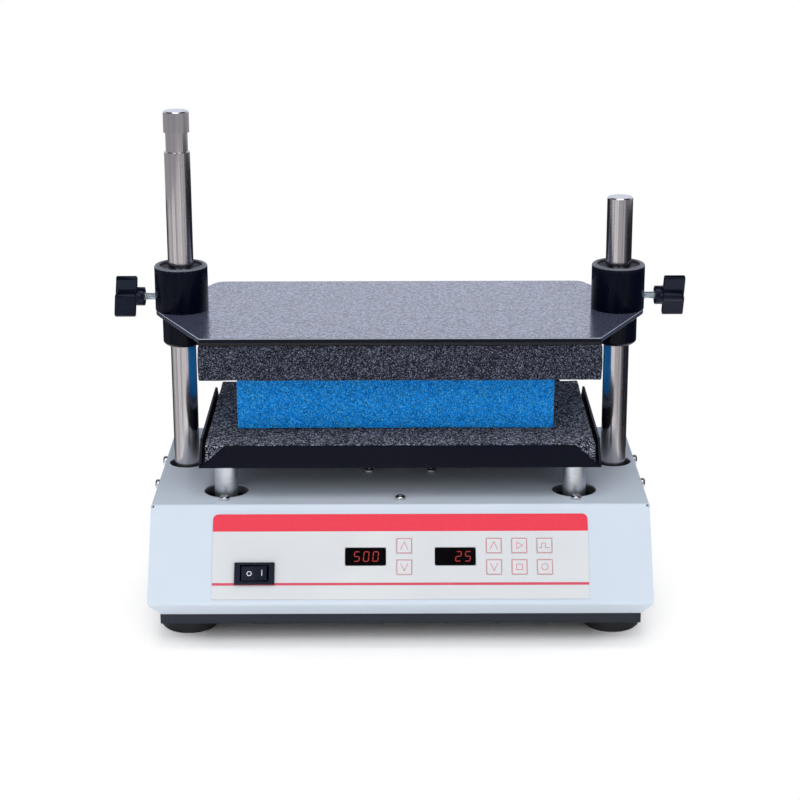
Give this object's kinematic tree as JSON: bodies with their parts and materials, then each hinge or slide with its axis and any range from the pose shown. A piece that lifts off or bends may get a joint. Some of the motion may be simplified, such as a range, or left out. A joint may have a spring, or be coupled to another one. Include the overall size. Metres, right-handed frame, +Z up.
{
  "type": "multi-tube vortex mixer",
  "caption": "Bench-top multi-tube vortex mixer: sloped-panel console, foam-lined orbiting tray and foam-lined clamp plate sliding on guide rods.",
  "frame": {"origin": "on the table, below the middle of the machine", "axes": "+X to the right as the operator faces the panel, +Y to the rear, +Z up"},
  "size_m": [0.4732, 0.2536, 0.4014],
  "materials": {
    "cover_paint": "light blue-grey satin enamel",
    "base_paint": "dark slate paint",
    "black_rubber": "moulded rubber",
    "screw_steel": "bright nickel plating",
    "rod_steel": "turned and polished stainless steel",
    "black_coat": "satin powder coat with a fine speckle",
    "black_anodised": "black anodised turning",
    "liner_plastic": "plain bearing plastic",
    "knob_plastic": "moulded black nylon",
    "zinc": "zinc plating",
    "charcoal_foam": "closed-cell charcoal foam",
    "blue_foam": "closed-cell blue foam",
    "overlay_film": "printed polyester film",
    "display_window": "smoked acrylic",
    "switch_plastic": "moulded black plastic",
    "inlet_plastic": "moulded black plastic",
    "circuit_board": "green solder mask",
    "bare_aluminium": "machined",
    "motor_shell": "dark enamel"
  },
  "bodies": {
    "console": {"base_plate": "base_paint", "board_standoffs": "rod_steel", "control_board": "circuit_board", "cover": "cover_paint", "cover_screws": "screw_steel", "deck_pillars": "bare_aluminium", "deck_plate": "bare_aluminium", "drive_belt": "black_rubber", "drive_screws": "screw_steel", "foot_screws": "screw_steel", "inlet_pins": "screw_steel", "long_rod": "rod_steel", "motor": "motor_shell", "panel_overlay": "overlay_film", "post_mounts": "black_rubber", "power_inlet": "inlet_plastic", "power_supply": "circuit_board", "rear_panel": "cover_paint", "rear_screws": "screw_steel", "rod_sockets": "bare_aluminium", "rubber_feet": "black_rubber", "short_rod": "rod_steel", "side_screws": "screw_steel", "speed_window": "display_window", "spindle_bearings": "rod_steel", "spindle_housing": "bare_aluminium", "switch_bezel": "switch_plastic", "time_window": "display_window"},
    "clamp_plate": {"top_plate": "black_coat", "left_collar": "black_anodised", "right_collar": "black_anodised", "left_liner": "liner_plastic", "right_liner": "liner_plastic", "top_pad": "charcoal_foam"},
    "left_clamp_tip": {"left_tip": "liner_plastic"},
    "left_clamp_knob": {"left_knob": "knob_plastic", "left_screw": "zinc"},
    "right_clamp_tip": {"right_tip": "liner_plastic"},
    "right_clamp_knob": {"right_knob": "knob_plastic", "right_screw": "zinc"},
    "crank": {"spindle": "rod_steel", "driven_pulley": "bare_aluminium", "counterweight": "rod_steel"},
    "tray": {"tray": "black_coat", "tray_posts": "rod_steel", "tray_pad": "charcoal_foam", "tray_hub": "bare_aluminium", "tray_bearing": "rod_steel"},
    "rack": {"foam_rack": "blue_foam"},
    "motor_rotor": {"motor_shaft": "rod_steel", "motor_pulley": "bare_aluminium"},
    "rocker": {"switch_rocker": "switch_plastic"},
    "speed_up_key": {"speed_up_key": "overlay_film"},
    "speed_down_key": {"speed_down_key": "overlay_film"},
    "time_up_key": {"time_up_key": "overlay_film"},
    "time_down_key": {"time_down_key": "overlay_film"},
    "run_key": {"run_key": "overlay_film"},
    "stop_key": {"stop_key": "overlay_film"},
    "pulse_on_key": {"pulse_on_key": "overlay_film"},
    "pulse_off_key": {"pulse_off_key": "overlay_film"}
  },
  "joints": [
    {"name": "plate_lift", "type": "slide", "parent": "console", "child": "clamp_plate", "axis": [0, 0, 1], "range_m": [0, 0.1296]},
    {"name": "left_tip_travel", "type": "slide", "parent": "clamp_plate", "child": "left_clamp_tip", "axis": [-1, 0, 0], "range_m": [0, 0.002]},
    {"name": "left_knob_turn", "type": "hinge", "parent": "left_clamp_tip", "child": "left_clamp_knob", "pos_m": [-0.2119, 0.0305, 0.2464], "axis": [-1, 0, 0], "range_deg": [0, 720]},
    {"name": "right_tip_travel", "type": "slide", "parent": "clamp_plate", "child": "right_clamp_tip", "axis": [1, 0, 0], "range_m": [0, 0.002]},
    {"name": "right_knob_turn", "type": "hinge", "parent": "right_clamp_tip", "child": "right_clamp_knob", "pos_m": [0.2119, 0.0305, 0.2464], "axis": [1, 0, 0], "range_deg": [0, 720]},
    {"name": "drive_spin", "type": "hinge", "parent": "console", "child": "crank", "pos_m": [0, 0.0305, 0.0733], "axis": [0, 0, 1], "continuous": true},
    {"name": "tray_orbit", "type": "hinge", "parent": "crank", "child": "tray", "pos_m": [0, 0.0287, 0.1375], "axis": [0, 0, 1], "continuous": true},
    {"name": "rack_pull", "type": "slide", "parent": "tray", "child": "rack", "axis": [0, -1, 0], "range_m": [0, 0.21]},
    {"name": "motor_spin", "type": "hinge", "parent": "console", "child": "motor_rotor", "pos_m": [0.08598, 0.0305, 0.06], "axis": [0, 0, 1], "continuous": true},
    {"name": "switch_rock", "type": "hinge", "parent": "console", "child": "rocker", "pos_m": [-0.116, -0.11293, 0.0554], "axis": [0, 0.5875, 0.8092], "range_deg": [0, 18]},
    {"name": "speed_up_press", "type": "slide", "parent": "console", "child": "speed_up_key", "axis": [0, 0.8092, -0.5875], "range_m": [0, 0.0004], "stiffness_N_per_m": 1000},
    {"name": "speed_down_press", "type": "slide", "parent": "console", "child": "speed_down_key", "axis": [0, 0.8092, -0.5875], "range_m": [0, 0.0004], "stiffness_N_per_m": 1000},
    {"name": "time_up_press", "type": "slide", "parent": "console", "child": "time_up_key", "axis": [0, 0.8092, -0.5875], "range_m": [0, 0.0004], "stiffness_N_per_m": 1000},
    {"name": "time_down_press", "type": "slide", "parent": "console", "child": "time_down_key", "axis": [0, 0.8092, -0.5875], "range_m": [0, 0.0004], "stiffness_N_per_m": 1000},
    {"name": "run_press", "type": "slide", "parent": "console", "child": "run_key", "axis": [0, 0.8092, -0.5875], "range_m": [0, 0.0004], "stiffness_N_per_m": 1000},
    {"name": "stop_press", "type": "slide", "parent": "console", "child": "stop_key", "axis": [0, 0.8092, -0.5875], "range_m": [0, 0.0004], "stiffness_N_per_m": 1000},
    {"name": "pulse_on_press", "type": "slide", "parent": "console", "child": "pulse_on_key", "axis": [0, 0.8092, -0.5875], "range_m": [0, 0.0004], "stiffness_N_per_m": 1000},
    {"name": "pulse_off_press", "type": "slide", "parent": "console", "child": "pulse_off_key", "axis": [0, 0.8092, -0.5875], "range_m": [0, 0.0004], "stiffness_N_per_m": 1000}
  ],
  "couplings": [
    {"joint": "left_knob_turn", "follows": "left_tip_travel", "rad_per_m": 6283.2},
    {"joint": "right_knob_turn", "follows": "right_tip_travel", "rad_per_m": 6283.2},
    {"joint": "tray_orbit", "follows": "drive_spin", "ratio": -1},
    {"joint": "motor_spin", "follows": "drive_spin", "ratio": 1.6875}
  ]
}
